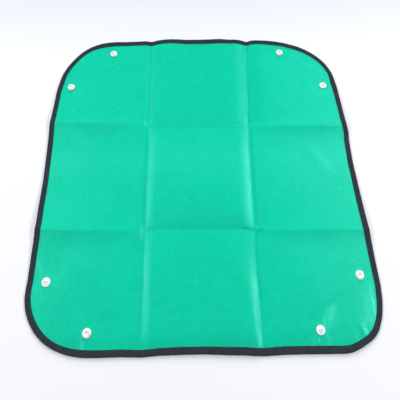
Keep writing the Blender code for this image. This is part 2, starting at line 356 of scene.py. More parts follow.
# How finely the cloth is cut
sheet_step = 0.0024
bend_step = 0.00125
step_tolerance = 1e-6
line_digits = 7
sharp_angle = math.radians(40)

# Each side's turn in degrees, and the corners at its low and high end
SIDES = {
    "near": (-90, "near_left", "near_right"),
    "right": (0, "near_right", "far_right"),
    "far": (90, "far_right", "far_left"),
    "left": (180, "far_left", "near_left"),
}


def flap_name(side, hand):
    corner = SIDES[side][1] if hand < 0 else SIDES[side][2]
    return f"{corner}_corner_{side}_flap"


def turned_out(side, outward, along):
    """A place given as outward and along in a side's own frame, in the mat's frame."""
    angle = math.radians(SIDES[side][0])
    x = outward * math.cos(angle) - along * math.sin(angle)
    y = outward * math.sin(angle) + along * math.cos(angle)
    return x, y


# The lie of the cloth


def read_run(run, along):
    places, across = zip(*run)
    return np.interp(along, places, across)


def smooth_step(value, start, end):
    share = np.clip((value - start) / (end - start), 0, 1)
    return share * share * (3 - 2 * share)


def rounded(u, v):
    """Draw the corners of the square cloth in to their arcs. Lines at an even inset stay so."""
    near = np.where(u < 0, corner_radius["near_left"], corner_radius["near_right"])
    far = np.where(u < 0, corner_radius["far_left"], corner_radius["far_right"])
    radius = np.where(v < 0, near, far)
    centre = half_side - radius
    across = (np.abs(u) - centre) / radius
    along = (np.abs(v) - centre) / radius
    in_corner = (across > 0) & (along > 0)
    ring = np.where(in_corner, np.maximum(across, along), 1)
    turn = np.minimum(across, along) / ring * math.pi / 4
    angle = np.where(across >= along, turn, math.pi / 2 - turn)
    x = np.where(in_corner, np.sign(u) * (centre + radius * ring * np.cos(angle)), u)
    y = np.where(in_corner, np.sign(v) * (centre + radius * ring * np.sin(angle)), v)
    return x, y


def tent(value, low, peak, high):
    """One at the peak, falling evenly to nought at low and at high."""
    return np.clip(np.minimum((value - low) / (peak - low), (high - value) / (high - peak)), 0, 1)


def crease_shift(across, along, low_run, high_run):
    """How far a pair of creases that run askew pull the cloth across."""
    limit = wall_half - flap_bend
    low = tent(across, -limit, -crease_offset, crease_offset)
    high = tent(across, -crease_offset, crease_offset, limit)
    low_shift = (read_run(low_run, along) + crease_offset) * low
    return low_shift + (read_run(high_run, along) - crease_offset) * high


def edge_shift(across, along, low_side, high_side):
    """How far the edges of the cloth have drifted, fading to nought inside the mat."""
    drift = np.where(
        across > 0,
        read_run(edge_drift[high_side], along),
        -read_run(edge_drift[low_side], along),
    )
    return drift * smooth_step(np.abs(across), edge_drift_start, half_side)


def corner_shift(u, v):
    """How far the round corners swell or sink, fading to nought toward each corner's centre."""
    shift_x, shift_y = 0, 0
    for corner, run in corner_swell.items():
        side_x = -1 if corner.endswith("left") else 1
        side_y = -1 if corner.startswith("near") else 1
        radius = corner_radius[corner]
        across = u - side_x * (half_side - radius)
        along = v - side_y * (half_side - radius)
        inside = (across * side_x > 0) & (along * side_y > 0)
        degrees = np.degrees(np.arctan2(along, across)) % 360
        fade = smooth_step(np.hypot(across, along), radius / 2, radius)
        swell = read_run(run, degrees) * inside * fade
        shift_x = shift_x + swell * np.cos(np.radians(degrees))
        shift_y = shift_y + swell * np.sin(np.radians(degrees))
    return shift_x, shift_y


def softened(distance):
    return np.sqrt(distance**2 + crease_round**2) - crease_round


def rise(distance, flank):
    """Nought on a crease, rounded over there, and nearly one a few flanks away."""
    return 1 - np.exp(-softened(distance) / flank)


def shoulder(distance, flank):
    """Like a rise, but it keeps its slope for half a flank before it levels out."""
    share = softened(distance) / flank
    return 1 - np.exp(-share - share**2)


def valley(beyond, share):
    """A shallow valley across the centre column, steep on its far side and gentle on its near side."""
    flank = np.where(beyond > 0, steep_flank, gentle_flank)
    return 1 - share + share * rise(beyond, flank)


def centre_column(u, v):
    """Three pillowed panels between the two long valleys, the far and near ones lifted at the edge."""
    reach = np.clip((np.abs(v) - crease_offset) / (half_side - crease_offset), 0, 1)
    far = valley(v - crease_offset, far_valley_share)
    near = valley(v + crease_offset, near_valley_share)
    flank = np.where(u < 0, read_run(left_flank_run, v), read_run(right_flank_run, v))
    flank = flank * (far * near) ** flank_narrowing
    sink = 1 - left_sink_share * (1 - u / crease_offset) / 2
    sides = shoulder(crease_offset - np.abs(u), flank) * sink
    near_lift = near_hump * np.sin(math.pi * reach) - near_fall * reach**2
    lift = np.where(v > 0, far_edge_lift * reach**2, near_lift)
    roll = np.clip((near_roll_reach - half_side - v) / near_roll_reach, 0, 1) ** 2 * near_roll
    return (panel_bulge + lift - roll) * sides * far * near


def side_column(u, v):
    """Panels outside the long valleys. The cross creases are ridges here, higher toward the edge."""
    outward = np.abs(u) - crease_offset
    reach = np.clip(outward / (half_side - crease_offset), 0, 1)
    ridges = 0
    for end, place in (("far", crease_offset), ("near", -crease_offset)):
        top = np.where(u < 0, ridge_height[f"{end}_left"], ridge_height[f"{end}_right"])
        beyond = v - place
        flank = np.where(beyond > 0, ridge_far_flank, ridge_near_flank[end])
        ridges = ridges + top * np.exp(-softened(beyond) / flank)
    growth = ridge_start_share + (1 - ridge_start_share) * reach
    ridges = ridges * growth * rise(outward, ridge_start_flank)
    return rise(outward, outer_flank) * (sheet_level - lying_level) + ridges


def slack(u, v):
    """Slow waves left by handling, flat on the creases."""
    flat_u, flat_v = np.ravel(u), np.ravel(v)
    layers = (slack_smoothness, slack_layer_step, slack_layers)
    wave = [
        noise.fractal((a / slack_size, b / slack_size, slack_slice), *layers)
        for a, b in zip(flat_u, flat_v)
    ]
    fade = rise(np.abs(u) - crease_offset, gentle_flank) * rise(np.abs(v) - crease_offset, gentle_flank)
    return slack_height * np.reshape(wave, np.shape(u)) * fade


def streak(x, y, start, end, half_width):
    """One along a straight line, fading at both ends and to each side."""
    run_x, run_y = end[0] - start[0], end[1] - start[1]
    length = math.hypot(run_x, run_y)
    along = ((x - start[0]) * run_x + (y - start[1]) * run_y) / length**2
    across = ((y - start[1]) * run_x - (x - start[0]) * run_y) / length
    ends = np.clip(4 * along * (1 - along), 0, 1)
    return ends * np.exp(-((across / half_width) ** 2))


def snap_centre(flap):
    cap_low, cap_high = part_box(f"{flap}_snap_cap")
    return (cap_low + cap_high) / 2


snap_centres = [snap_centre(flap_name(side, hand)) for side in SIDES for hand in (-1, 1)]


def held_by_snaps(x, y, height):
    """The cloth is clamped level at each snap, and puckers a little round it."""
    for centre in snap_centres:
        distance = np.hypot(x - centre.x, y - centre.y)
        hold = 1 - smooth_step(distance, snap_grip, snap_ease)
        fade = np.exp(-np.abs(distance - snap_grip) / pucker_reach) * (distance > snap_grip / 2)
        turns = np.arctan2(y - centre.y, x - centre.x) * pucker_count + centre.x / snap_grip
        height = height * (1 - hold) + (sheet_level - lying_level) * hold
        height = height + pucker_height * fade * np.cos(turns)
    return height


def settled(u, v):
    """Where a point of the flat cloth, its corners already round, comes to lie."""
    swell_x, swell_y = corner_shift(u, v)
    x = u + crease_shift(u, v, left_crease_run, right_crease_run) + edge_shift(u, v, "left", "right")
    y = v + crease_shift(v, u, near_crease_run, far_crease_run) + edge_shift(v, u, "near", "far")
    x, y = x + swell_x, y + swell_y
    height = np.where(np.abs(u) < crease_offset, centre_column(u, v), side_column(u, v))
    height = height + slack(u, v)
    for start, end, top, half_width in wrinkles:
        height = height + top * streak(x, y, start, end, half_width)
    for pinch_u, pinch_v in pinches:
        distance = np.hypot(u - pinch_u, v - pinch_v)
        height = height + pinch_height * np.exp(-((distance / pinch_radius) ** 2))
    height = held_by_snaps(x, y, height)
    outward = np.maximum(np.abs(u), np.abs(v))
    start = half_side - tape_lying_widths * binding_width
    near_tape = smooth_step(outward, start, half_side - binding_width)
    lowest = lying_level + (tape_lying_level - lying_level) * near_tape
    return x, y, np.maximum(lying_level + height, lowest)


# Painted highlight streaks on the film
def highlight_streak_mask(x, y):
    mask = 0
    for start, end, half_width, strength in highlight_streaks:
        mask = mask + strength * streak(x, y, start, end, half_width)
    return mask


def patch_light_mask(x, y):
    """Broad patches of painted light and shade, and streaks of painted shade: pale above nought, dark
    below it.
    """
    mask = 0
    for place_x, place_y, reach_x, reach_y, strength in light_and_shade_patches:
        across, along = (x - place_x) / reach_x, (y - place_y) / reach_y
        mask = mask + strength * np.exp(-(across**2) - along**2)
    for start, end, half_width, strength in shade_streaks:
        mask = mask - strength * streak(x, y, start, end, half_width)
    return mask


def crease_light_mask(u, v):
    """Painted highlight lines count above nought and painted shade lines below it."""
    mask = 0
    for side, row, outward, half_width, strength in crease_light_lines:
        low, high = row_limits[row]
        in_row = smooth_step(v, low, low + row_fade) * (1 - smooth_step(v, high - row_fade, high))
        distance = side * u - crease_offset - outward
        mask = mask + strength * in_row * np.exp(-((distance / half_width) ** 2))
    return mask


# Meshes


def placed(name, data):
    """An object at the origin, in the scene."""
    made = bpy.data.objects.new(name, data)
    bpy.context.collection.objects.link(made)
    return made


def smooth_piece(name, mesh, material):
    mesh.materials.append(material)
    mesh.shade_smooth()
    mesh.set_sharp_from_angle(angle=sharp_angle)
    return placed(name, mesh)


def new_piece(name, points, faces, material, uv_maps, masks=None):
    """A smooth object at the origin. Each UV map gives a place on the flat cloth for every point."""
    mesh = bpy.data.meshes.new(name)
    mesh.from_pydata([tuple(point) for point in points], [], faces)
    corners = np.zeros(len(mesh.loops), np.int32)
    mesh.loops.foreach_get("vertex_index", corners)
    for map_name, places in uv_maps.items():
        layer = mesh.uv_layers.new(name=map_name)
        layer.uv.foreach_set("vector", np.asarray(places, np.float32)[corners].ravel())
    for mask_name, values in (masks or {}).items():
        layer = mesh.attributes.new(mask_name, "FLOAT", "POINT")
        layer.data.foreach_set("value", np.asarray(values, np.float32))
    mesh.validate()
    return smooth_piece(name, mesh, material)


def ladder(start, end, step):
    count = max(1, math.ceil((end - start) / step - step_tolerance))
    return np.linspace(start, end, count + 1)


def cloth_lines():
    """Places of the grid lines from the middle to the edge, close together where the cloth bends."""
    graded = crease_reach * (np.arange(crease_rungs + 1) / crease_rungs) ** crease_rung_power
    parts = [ladder(0, crease_offset - crease_reach, sheet_step)]
    parts += [crease_offset - graded[::-1], crease_offset + graded]
    parts += [ladder(crease_offset + crease_reach, wall_half - flap_bend, sheet_step)]
    bends = [wall_half - flap_bend, base_half - fold_bend, wall_half, base_half, base_half + fold_bend]
    parts += [ladder(a, b, bend_step) for a, b in zip(bends, bends[1:])]
    parts += [ladder(base_half + fold_bend, half_side - sheet_inset, sheet_step)]
    half = np.unique(np.round(np.concatenate(parts), line_digits))
    return np.concatenate([-half[:0:-1], half])


def piece_at(u, v):
    """Which piece of the cloth a place belongs to: the base, a wall or a flap."""
    outward, along = max(abs(u), abs(v)), min(abs(u), abs(v))
    inner, outer = base_half - fold_bend, base_half + fold_bend
    if outward < inner or (along > inner and outward < base_half):
        return "base"
    if abs(u) >= abs(v):
        side, hand = ("right", 1 if v > 0 else -1) if u > 0 else ("left", -1 if v > 0 else 1)
    else:
        side, hand = ("far", -1 if u > 0 else 1) if v > 0 else ("near", 1 if u > 0 else -1)
    wall_end = wall_half if outward < outer else wall_half - flap_bend
    return f"{side}_wall" if along < wall_end else flap_name(side, hand)


def cut_cloth(lines):
    """Sort the grid's cells by piece. Cells on a corner's diagonal are cut in two along it."""
    count = len(lines)
    pieces = {}
    for i in range(count - 1):
        for j in range(count - 1):
            quad = [(i, j), (i + 1, j), (i + 1, j + 1), (i, j + 1)]
            cells = [quad]
            beyond = min(abs(lines[i] + lines[i + 1]), abs(lines[j] + lines[j + 1])) / 2 > base_half
            if beyond and i == j:
                cells = [[quad[0], quad[1], quad[2]], [quad[0], quad[2], quad[3]]]
            if beyond and i + j == count - 2:
                cells = [[quad[0], quad[1], quad[3]], [quad[1], quad[2], quad[3]]]
            for cell in cells:
                u = sum(lines[a] for a, b in cell) / len(cell)
                v = sum(lines[b] for a, b in cell) / len(cell)
                pieces.setdefault(piece_at(u, v), []).append([a * count + b for a, b in cell])
    return pieces


def corners_of(cells):
    return sorted({corner for cell in cells for corner in cell})


def sheet_solid(name, cells, cloth, material):
    """A closed thin piece of cloth over some cells of the grid."""
    used = corners_of(cells)
    order = {corner: place for place, corner in enumerate(used)}
    count = len(used)
    top = [[order[corner] for corner in cell] for cell in cells]
    bottom = [[corner + count for corner in reversed(face)] for face in top]
    edges = {(a, b) for face in top for a, b in zip(face, face[1:] + face[:1])}
    rim = [(b, a, a + count, b + count) for a, b in edges if (b, a) not in edges]
    lie = cloth["place"][used]
    half = np.array([0, 0, sheet_thickness / 2])
    points = np.concatenate([lie + half, lie - half])
    maps = {
        "cloth": np.tile(cloth["plan"][used], (2, 1)),
        "creases": np.tile(cloth["flat"][used], (2, 1)),
    }
    masks = {name: np.tile(cloth[name][used], 2) for name in ("painted_highlight", "painted_tone")}
    return new_piece(name, points, top + bottom + sorted(rim), material, maps, masks)


def flat_area(cells, flat):
    """Area of some cells on the cloth before it was laid."""
    total = 0
    for cell in cells:
        x, y = flat[cell].T
        total += abs(np.dot(x, np.roll(y, -1)) - np.dot(y, np.roll(x, -1))) / 2
    return float(total)


def make_sheets(material):
    """All pieces of the cloth, with the flat size of each."""
    lines = cloth_lines()
    u, v = np.meshgrid(lines, lines, indexing="ij")
    round_u, round_v = rounded(u, v)
    x, y, z = settled(round_u, round_v)
    cloth = {
        "place": np.stack([x, y, z], -1).reshape(-1, 3),
        "plan": np.stack([x, y], -1).reshape(-1, 2),
        "flat": np.stack([round_u, round_v], -1).reshape(-1, 2),
        # painted highlight streaks
        "painted_highlight": highlight_streak_mask(x, y).ravel(),
        # painted light and shade along the creases and in broad patches
        "painted_tone": (crease_light_mask(round_u, round_v) + patch_light_mask(x, y)).ravel(),
    }
    sheets = {}
    for body, cells in cut_cloth(lines).items():
        piece = sheet_solid(f"{body}_sheet", cells, cloth, material)
        size = np.ptp(cloth["flat"][corners_of(cells)], axis=0)
        sheets[body] = (piece, (float(size[0]), float(size[1])), flat_area(cells, cloth["flat"]))
    return sheets


# Node tools


def add_node(tree, kind, inputs=None, **settings):
    made = tree.nodes.new(kind)
    for name, value in settings.items():
        setattr(made, name, value)
    set_inputs(tree, made, inputs or {})
    return made


def set_inputs(tree, made, inputs):
    """Link each input that is given a socket, and set each that is given a plain value."""
    for name, value in inputs.items():
        if isinstance(value, bpy.types.NodeSocket):
            tree.links.new(value, made.inputs[name])
        else:
            made.inputs[name].default_value = value


def calculate(tree, operation, first, second=0.0, clamp=False):
    inputs = {0: first, 1: second}
    made = add_node(tree, "ShaderNodeMath", inputs, operation=operation, use_clamp=clamp)
    return made.outputs["Value"]


def vector_math(tree, operation, inputs):
    return add_node(tree, "ShaderNodeVectorMath", inputs, operation=operation).outputs


def weighted(tree, values, shares):
    """The sum of some values, each times its share."""
    total = None
    for value, share in zip(values, shares):
        part = calculate(tree, "MULTIPLY", value, share)
        total = part if total is None else calculate(tree, "ADD", total, part)
    return total


def new_group(name, inputs, outputs, kind="ShaderNodeTree"):
    tree = bpy.data.node_groups.new(name, kind)
    for socket, socket_kind, value in inputs:
        made = tree.interface.new_socket(socket, in_out="INPUT", socket_type=socket_kind)
        if value is not None:
            made.default_value = value
    for socket, socket_kind in outputs:
        tree.interface.new_socket(socket, in_out="OUTPUT", socket_type=socket_kind)
    source = tree.nodes.new("NodeGroupInput").outputs
    target = tree.nodes.new("NodeGroupOutput").inputs
    return tree, source, target


def use_group(tree, group, inputs):
    return add_node(tree, "ShaderNodeGroup", inputs, node_tree=group).outputs


# Binding and stitches


def edge_stations(corner, hand):
    """Places along the edge from a wall's end to the corner's diagonal, in the side's own frame.

    Each is a point on the edge, the direction out of the mat there, and whether it is on the arc.
    """
    radius = corner_radius[corner]
    centre = half_side - radius
    straight = ladder(wall_half - flap_bend, centre, tape_station)
    points = [((half_side, hand * along), (1, 0), 0) for along in straight]
    steps = math.ceil(radius * math.pi / 4 / tape_station)
    for step in range(1, steps + 1):
        angle = math.pi / 4 * step / steps
        out = (math.cos(angle), hand * math.sin(angle))
        points.append(((centre + radius * out[0], hand * centre + radius * out[1]), out, 1))
    return points


def wall_stations():
    limit = wall_half - flap_bend
    return [((half_side, along), (1, 0), 0) for along in ladder(-limit, limit, tape_station)]


def tape_section():
    """Outer and inner lines of the folded tape, from its top edge round to its bottom edge."""
    outer = [(binding_width * a, binding_half * b) for a, b in tape_shape_shares]
    inner = [(inset, height - tape_thickness) for inset, height in outer]
    for step in range(tape_fold_steps + 1):
        angle = math.pi / 2 + math.pi * step / tape_fold_steps
        for line, radius in ((outer, binding_half), (inner, binding_half - tape_thickness)):
            line.append((binding_half + radius * math.cos(angle), radius * math.sin(angle)))
    shown = len(tape_shape_shares)
    outer += [(inset, -height) for inset, height in reversed(outer[:shown])]
    inner += [(inset, -height) for inset, height in reversed(inner[:shown])]
    return outer, inner


def station_arrays(side, stations):
    """The stations turned into the mat's frame, and how far along the tape each one is."""
    edge = np.array([station[0] for station in stations])
    out = np.array([station[1] for station in stations])
    arc = np.array([station[2] for station in stations])
    steps = np.hypot(*np.diff(edge, axis=0).T)
    along = np.concatenate([[0], np.cumsum(steps)])
    edge = np.stack(turned_out(side, edge[:, 0], edge[:, 1]), -1)
    out = np.stack(turned_out(side, out[:, 0], out[:, 1]), -1)
    return edge, out, arc, along


def width_share(edge):
    """The tape is sewn narrower at the sides and round the far corners, and wanders everywhere."""
    return read_run(tape_width_run, np.degrees(np.arctan2(edge[:, 1], edge[:, 0])) % 360)


def laid_at(edge, out, inset):
    flat = edge - out * np.reshape(inset, (-1, 1))
    return settled(flat[:, 0], flat[:, 1])


def make_binding(name, side, stations, material):
    """The folded tape along some stations, as one closed piece."""
    edge, out, arc, along = station_arrays(side, stations)
    outer, inner = tape_section()
    section = outer + inner[::-1]
    spots = edge / tape_wander_size
    wander = np.array([noise.noise((a, b, tape_wander_slice)) for a, b in spots])
    wave = (1 + np.sin(along / gather_length * math.tau)) / 2
    blend = np.ones(gather_blend_stations) / gather_blend_stations
    gather = gather_height * wave * smooth_step(np.convolve(arc, blend, "same"), 0, 1)
    points, places = [], []
    across = 0
    for index, (inset, height) in enumerate(section):
        if index % len(outer):
            step = math.dist(section[index], section[index - 1])
            across += step if index < len(outer) else -step
        edge_share = (inset / binding_width) ** inner_edge_power
        moved = inset * width_share(edge) + tape_wander * wander * edge_share
        x, y, z = laid_at(edge, out, moved)
        lift = height + math.copysign(1, height) * gather * edge_share
        points.append(np.stack([x, y, z + lift], -1))
        places.append(np.stack([along, np.full(len(along), across)], -1))
    count = len(stations)
    ring = len(section)
    faces = []
    for k in range(ring):
        beside = ((k + 1) % ring - k) * count
        for spot in range(k * count, k * count + count - 1):
            faces.append((spot, spot + 1, spot + 1 + beside, spot + beside))
    for station in (0, count - 1):
        for k in range(len(outer) - 1):
            pair = ring - 1 - k
            corners = (k, k + 1, pair - 1, pair)
            faces.append(tuple(corner * count + station for corner in corners))
    maps = {"cloth": np.concatenate(places)}
    piece = new_piece(name, np.concatenate(points), faces, material, maps)
    point_outward(piece.data)
    return piece


def point_outward(mesh):
    work = bmesh.new()
    work.from_mesh(mesh)
    bmesh.ops.recalc_face_normals(work, faces=work.faces)
    work.to_mesh(mesh)
    work.free()


def stitch_tree():
    """One stitch for every pitch along the edges of a mesh, lying in line with the seam."""
    inputs = [("Seam", "NodeSocketGeometry", None)]
    inputs += [(name, "NodeSocketFloat", value) for name, value in stitch_sizes.items()]
    inputs += [("Thread", "NodeSocketMaterial", None)]
    outputs = [("Stitches", "NodeSocketGeometry")]
    tree, source, target = new_group("lockstitch_row", inputs, outputs, "GeometryNodeTree")
    seam = add_node(tree, "GeometryNodeMeshToCurve", {"Mesh": source["Seam"]})
    spacing = {"Curve": seam.outputs["Curve"], "Length": source["Pitch"]}
    even = add_node(tree, "GeometryNodeResampleCurve", spacing, mode="LENGTH")
    steps = add_node(tree, "GeometryNodeCurveToMesh", {"Curve": even.outputs["Curve"]})
    ends = add_node(tree, "GeometryNodeInputMeshEdgeVertices").outputs
    run = vector_math(tree, "SUBTRACT", {0: ends["Position 1"], 1: ends["Position 2"]})
    keep = add_node(tree, "GeometryNodeCaptureAttribute", domain="EDGE")
    keep.capture_items.new("VECTOR", "Run")
    set_inputs(tree, keep, {"Geometry": steps.outputs["Mesh"], "Run": run["Vector"]})
    kept_run = keep.outputs["Run"]
    spots = add_node(tree, "GeometryNodeMeshToPoints", {"Mesh": keep.outputs["Geometry"]}, mode="EDGES")
    aim = add_node(tree, "FunctionNodeAlignRotationToVector", {"Vector": kept_run}, axis="Z")
    length = vector_math(tree, "LENGTH", {0: kept_run})["Value"]
    filled = calculate(tree, "MULTIPLY", length, source["Fill Share"])
    half = calculate(tree, "MULTIPLY", filled, 0.5)
    thread = source["Thread Radius"]
    size = add_node(tree, "ShaderNodeCombineXYZ", {"X": thread, "Y": thread, "Z": half})
    counts = {"Segments": stitch_segments, "Rings": stitch_rings, "Radius": 1.0}
    bead = add_node(tree, "GeometryNodeMeshUVSphere", counts)
    laid = {
        "Points": spots.outputs["Points"],
        "Instance": bead.outputs["Mesh"],
        "Rotation": aim.outputs["Rotation"],
        "Scale": size.outputs["Vector"],
    }
    row = add_node(tree, "GeometryNodeInstanceOnPoints", laid).outputs["Instances"]
    real = add_node(tree, "GeometryNodeRealizeInstances", {"Geometry": row}).outputs["Geometry"]
    smooth = add_node(tree, "GeometryNodeSetShadeSmooth", {"Geometry": real}).outputs["Geometry"]
    painted = {"Geometry": smooth, "Material": source["Thread"]}
    paint = add_node(tree, "GeometryNodeSetMaterial", painted)
    tree.links.new(paint.outputs["Geometry"], target["Stitches"])
    return tree


def make_stitches(name, side, stations, tree, material):
    """Two rows of thread, one on each face of the tape, as one plain mesh."""
    edge, out = station_arrays(side, stations)[:2]
    inset = binding_width * stitch_share
    surface = binding_half * dict(tape_shape_shares)[stitch_share] + thread_radius * stitch_sink_share
    x, y, z = laid_at(edge, out, inset * width_share(edge))
    rows = [np.stack([x, y, z + face * surface], -1) for face in (1, -1)]
    count = len(edge)
    edges = [(row * count + s, row * count + s + 1) for row in (0, 1) for s in range(count - 1)]
    seam = bpy.data.meshes.new(f"{name}_seam")
    seam.from_pydata([tuple(point) for point in np.concatenate(rows)], edges, [])
    guide = placed(f"{name}_seam", seam)
    modifier = guide.modifiers.new("stitches", "NODES")
    modifier.node_group = tree
    items = [item for item in tree.interface.items_tree if item.in_out == "INPUT"]
    sockets = {item.name: item.identifier for item in items}
    for size_name, value in stitch_sizes.items():
        modifier[sockets[size_name]] = value
    modifier[sockets["Thread"]] = material
    return made_plain(guide, name)


def made_plain(guide, name):
    """Turn a modified object into a plain mesh object and drop the guide."""
    depsgraph = bpy.context.evaluated_depsgraph_get()
    mesh = bpy.data.meshes.new_from_object(guide.evaluated_get(depsgraph), depsgraph=depsgraph)
    mesh.name = name
    guide_mesh = guide.data
    bpy.data.objects.remove(guide, do_unlink=True)
    bpy.data.meshes.remove(guide_mesh)
    return placed(name, mesh)


# Snaps

snap_segments = 56
snap_weld = 0.000002
edge_round = 0.00018
edge_round_share = 0.45
round_steps = 3
seat_gap = 0.00025
post_radius = 0.0010
through_radius = 0.0013
web_height = 0.0006
mark_depth = 0.00012
mark_floor_radius = 0.0007
mark_radius = 0.0008
dome_flat_share = 0.5
dome_slope_share = 0.82
dome_slope = 0.0001
dome_edge = 0.0005
cap_bevel = 0.0002
head_clearance = 0.00015
head_height = 0.0007
head_radius = 0.0016
head_top_radius = 0.0015
head_bevel = 0.0001
head_ring_radius = 0.0009
head_dimple_radius = 0.0005

# Upper halves, as (radius, height). The stud is a base with a raised rim and a hollow nipple that
# has a bead at its tip. The socket is a stepped ring with a bore that takes the nipple.
upper_profiles = {
    "stud": [
        (through_radius, 0), (0.0059, 0), (0.0061, 0.0003), (0.0061, 0.0008), (0.0058, 0.0010),
        (0.0045, 0.0010), (0.0042, 0.0008), (0.0021, 0.0008), (0.0020, 0.0020), (0.0022, 0.0022),
        (0.0021, 0.0026), (0.0018, 0.0026), (0.00175, web_height), (through_radius, web_height),
    ],
    "socket": [
        (through_radius, 0), (0.0059, 0), (0.0061, 0.0003), (0.0061, 0.0010), (0.0058, 0.0012),
        (0.0047, 0.0012), (0.0045, 0.0019), (0.0042, 0.0021), (0.0029, 0.0021), (0.0025, 0.0017),
        (0.0025, web_height), (through_radius, web_height),
    ],
}


def filleted(points, radius, steps):
    """Round every corner of an open profile, by less where its neighbours are close."""
    result = [Vector(points[0])]
    for before, here, after in zip(points, points[1:], points[2:]):
        here = Vector(here)
        back, ahead = Vector(before) - here, Vector(after) - here
        reach = min(radius, back.length * edge_round_share, ahead.length * edge_round_share)
        start = here + back.normalized() * reach
        end = here + ahead.normalized() * reach
        for step in range(steps + 1):
            share = step / steps
            result.append(start.lerp(here, share).lerp(here.lerp(end, share), share))
    result.append(Vector(points[-1]))
    return result


def turned(name, profile, centre, base, material):
    """Spin a closed profile of (radius, height) about a snap's upright axis."""
    work = bmesh.new()
    outline = filleted(profile, edge_round, round_steps)
    ring = [work.verts.new((centre.x + point.x, centre.y, base + point.y)) for point in outline]
    edges = [work.edges.new(pair) for pair in zip(ring, ring[1:])]
    if profile[0][0] > 0:
        edges.append(work.edges.new((ring[-1], ring[0])))
    bmesh.ops.spin(
        work,
        geom=ring + edges,
        cent=centre,
        axis=(0, 0, 1),
        angle=math.tau,
        steps=snap_segments,
        use_merge=True,
    )
    bmesh.ops.remove_doubles(work, verts=work.verts, dist=snap_weld)
    bmesh.ops.recalc_face_normals(work, faces=work.faces)
    mesh = bpy.data.meshes.new(name)
    work.to_mesh(mesh)
    work.free()
    return smooth_piece(name, mesh, material)


def cap_profile(height, radius):
    """Low dome under the sheet with a moulding mark, its post, and the head pressed in the snap."""
    head_base = height + 2 * seat_gap + sheet_thickness + web_height + head_clearance
    head_top = head_base + head_height
    return [
        (0, mark_depth),
        (mark_floor_radius, mark_depth),
        (mark_radius, 0),
        (radius * dome_flat_share, 0),
        (radius * dome_slope_share, dome_slope),
        (radius, dome_edge),
        (radius, height - cap_bevel),
        (radius - cap_bevel, height),
        (post_radius, height),
        (post_radius, head_base),
        (head_radius, head_base),
        (head_top_radius, head_top - head_bevel),
        (head_ring_radius, head_top),
        (head_dimple_radius, head_top - head_bevel),
        (0, head_top - head_bevel),
    ]


def make_snap(flap, kind, material):
    """The cap below the sheet and the stud or socket above it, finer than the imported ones."""
    cap_low, cap_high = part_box(f"{flap}_snap_cap")
    upper_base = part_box(f"{flap}_snap_{kind}")[0].z
    radius = (cap_high.x - cap_low.x) / 2
    height = upper_base - 2 * seat_gap - sheet_thickness - cap_low.z
    halves = {
        "cap": (cap_profile(height, radius), cap_low.z),
        kind: (upper_profiles[kind], upper_base),
    }
    for half, (profile, base) in halves.items():
        piece = turned(f"{flap}_{half}", profile, snap_centre(flap), base, material)
        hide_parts(f"{flap}_snap_{half}")
        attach(piece, flap)


# Patterns of the surfaces

woven_tape_width = 0.0022
streak_stretches = ((0.045, 0.55, 1.0), (0.55, 0.045, 1.0))
streak_roughness = 0.6
weave_shares = (0.7, 0.3)
# Widths of the painted highlight along the creases
highlight_line_width = 0.0012
highlight_band_width = 0.009
highlight_power = 1.5
rib_pitch = 0.0009
rib_turns = {"X": math.pi, "Y": math.pi * 0.7}
hair_width = 0.0016
hair_stretch = (1.0, 0.16, 1.0)
hair_limits = (-0.9, 2.0)

# Layers of fine grain, as (how fine beside the grain's own size, detail)
grain_layers = {
    "Tone": (0.08, 2.0),
    "Patches": (0.45, 2.0),
    "Relief": (1.0, 3.0),
}


def noise_field(tree, place, scale, detail=2.0, roughness=0.5):
    inputs = {"Vector": place, "Scale": scale, "Detail": detail, "Roughness": roughness}
    return add_node(tree, "ShaderNodeTexNoise", inputs).outputs["Fac"]


def streaks_along(tree, place, stretch, scale):
    """Noise drawn out by a stretch."""
    drawn = vector_math(tree, "MULTIPLY", {0: place, 1: stretch})["Vector"]
    return noise_field(tree, drawn, scale, roughness=streak_roughness)


def crowned(tree, value, turn):
    """Rounded crowns side by side along a value."""
    angle = calculate(tree, "MULTIPLY", value, turn)
    return calculate(tree, "ABSOLUTE", calculate(tree, "SINE", angle))


def split(tree, place):
    return add_node(tree, "ShaderNodeSeparateXYZ", {"Vector": place}).outputs


def ranged(tree, value, limits):
    """A value of nought to one spread between two limits."""
    inputs = {"Value": value, "To Min": limits[0], "To Max": limits[1]}
    return add_node(tree, "ShaderNodeMapRange", inputs).outputs["Result"]


def share_between(tree, value, limits):
    """Nought below the first limit, one above the second."""
    inputs = {"Value": value, "From Min": limits[0], "From Max": limits[1]}
    return add_node(tree, "ShaderNodeMapRange", inputs).outputs["Result"]


def woven_tapes_group():
    """Flat tapes woven over and under each other, seen through a film: their relief and streaks."""
    inputs = [("Place", "NodeSocketVector", None), ("Tape Width", "NodeSocketFloat", woven_tape_width)]
    outputs = [("Relief", "NodeSocketFloat"), ("Streaks", "NodeSocketFloat")]
    tree, source, target = new_group("woven_tapes", inputs, outputs)
    count = calculate(tree, "DIVIDE", 1.0, source["Tape Width"])
    scaled = vector_math(tree, "SCALE", {0: source["Place"], "Scale": count})["Vector"]
    parts = split(tree, scaled)
    crowns = [crowned(tree, parts[axis], math.pi) for axis in "XY"]
    checks = add_node(tree, "ShaderNodeTexChecker", {"Vector": scaled, "Scale": 1.0}).outputs["Fac"]
    woven = {"Factor": checks, "A": crowns[0], "B": crowns[1]}
    relief = add_node(tree, "ShaderNodeMix", woven).outputs["Result"]
    streaks = [streaks_along(tree, scaled, stretch, 1.0) for stretch in streak_stretches]
    tree.links.new(relief, target["Relief"])
    tree.links.new(weighted(tree, streaks, weave_shares), target["Streaks"])
    return tree


